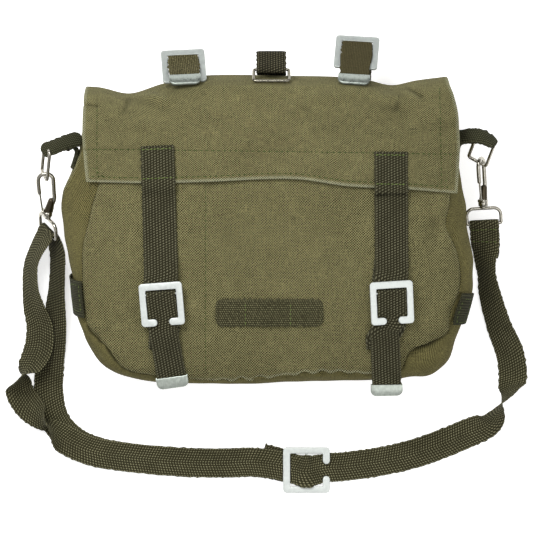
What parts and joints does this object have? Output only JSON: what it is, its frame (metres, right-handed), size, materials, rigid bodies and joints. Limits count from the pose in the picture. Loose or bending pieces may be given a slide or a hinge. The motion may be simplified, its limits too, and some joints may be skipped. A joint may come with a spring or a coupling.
{
  "type": "military field bag",
  "caption": "Stuffed canvas field bag lying on its back, with a buckled flap, webbing tabs, snap hooks at the sides and an adjustable shoulder strap laid round it.",
  "frame": {"origin": "on the flat underside of the back panel, near its centre", "axes": "+Z out of the bag's front, +Y to its top edge, +X to the right as seen from the front"},
  "size_m": [0.4412, 0.386, 0.1099],
  "materials": {
    "canvas": "washed cotton canvas, olive",
    "webbing": "coarse cotton webbing, dark olive",
    "aluminium": "matt, blasted",
    "nickel": "nickel plated, polished"
  },
  "bodies": {
    "bag": {"front_panel": "canvas", "gusset": "canvas", "back_panel": "canvas", "flap": "canvas", "flap_strap_left": "webbing", "flap_strap_right": "webbing", "pull_strap_left": "webbing", "pull_strap_right": "webbing", "keeper_loop": "webbing", "top_tab_left": "webbing", "top_tab_right": "webbing", "centre_tab": "webbing", "side_loop_left": "webbing", "side_loop_right": "webbing", "gusset_tab_left": "webbing", "gusset_tab_right": "webbing", "shoulder_strap_front": "webbing", "shoulder_strap_back": "webbing", "front_frame_left": "aluminium", "front_frame_right": "aluminium", "front_tip_left": "aluminium", "front_tip_right": "aluminium", "top_frame_left": "aluminium", "top_frame_right": "aluminium", "top_tip_left": "aluminium", "top_tip_right": "aluminium", "strap_frame": "aluminium", "centre_ring": "nickel", "side_ring_left": "nickel", "side_ring_right": "nickel", "swivel_eye_left": "nickel", "swivel_eye_right": "nickel"},
    "hook_left": {"hook_left": "nickel"},
    "hook_right": {"hook_right": "nickel"},
    "gate_left": {"gate_left": "nickel"},
    "gate_right": {"gate_right": "nickel"}
  },
  "joints": [
    {"name": "swivel_left", "type": "hinge", "parent": "bag", "child": "hook_left", "pos_m": [-0.18405, 0.01916, 0.02866], "axis": [-0.0301, 0.8526, 0.5216], "range_deg": [-20, 20]},
    {"name": "gate_spring_left", "type": "hinge", "parent": "hook_left", "child": "gate_left", "pos_m": [-0.18838, 0.02289, 0.03094], "axis": [0, 0.5219, -0.853], "range_deg": [0, 25], "stiffness_Nm_per_rad": 0.02, "springref_deg": -5.73},
    {"name": "swivel_right", "type": "hinge", "parent": "bag", "child": "hook_right", "pos_m": [0.18288, 0.02813, 0.02572], "axis": [-0.0604, 0.9514, 0.302], "range_deg": [-12, 20]},
    {"name": "gate_spring_right", "type": "hinge", "parent": "hook_right", "child": "gate_right", "pos_m": [0.18102, 0.03115, 0.03075], "axis": [-0.924, 0.0611, -0.3774], "range_deg": [0, 25], "stiffness_Nm_per_rad": 0.02, "springref_deg": -5.73}
  ]
}
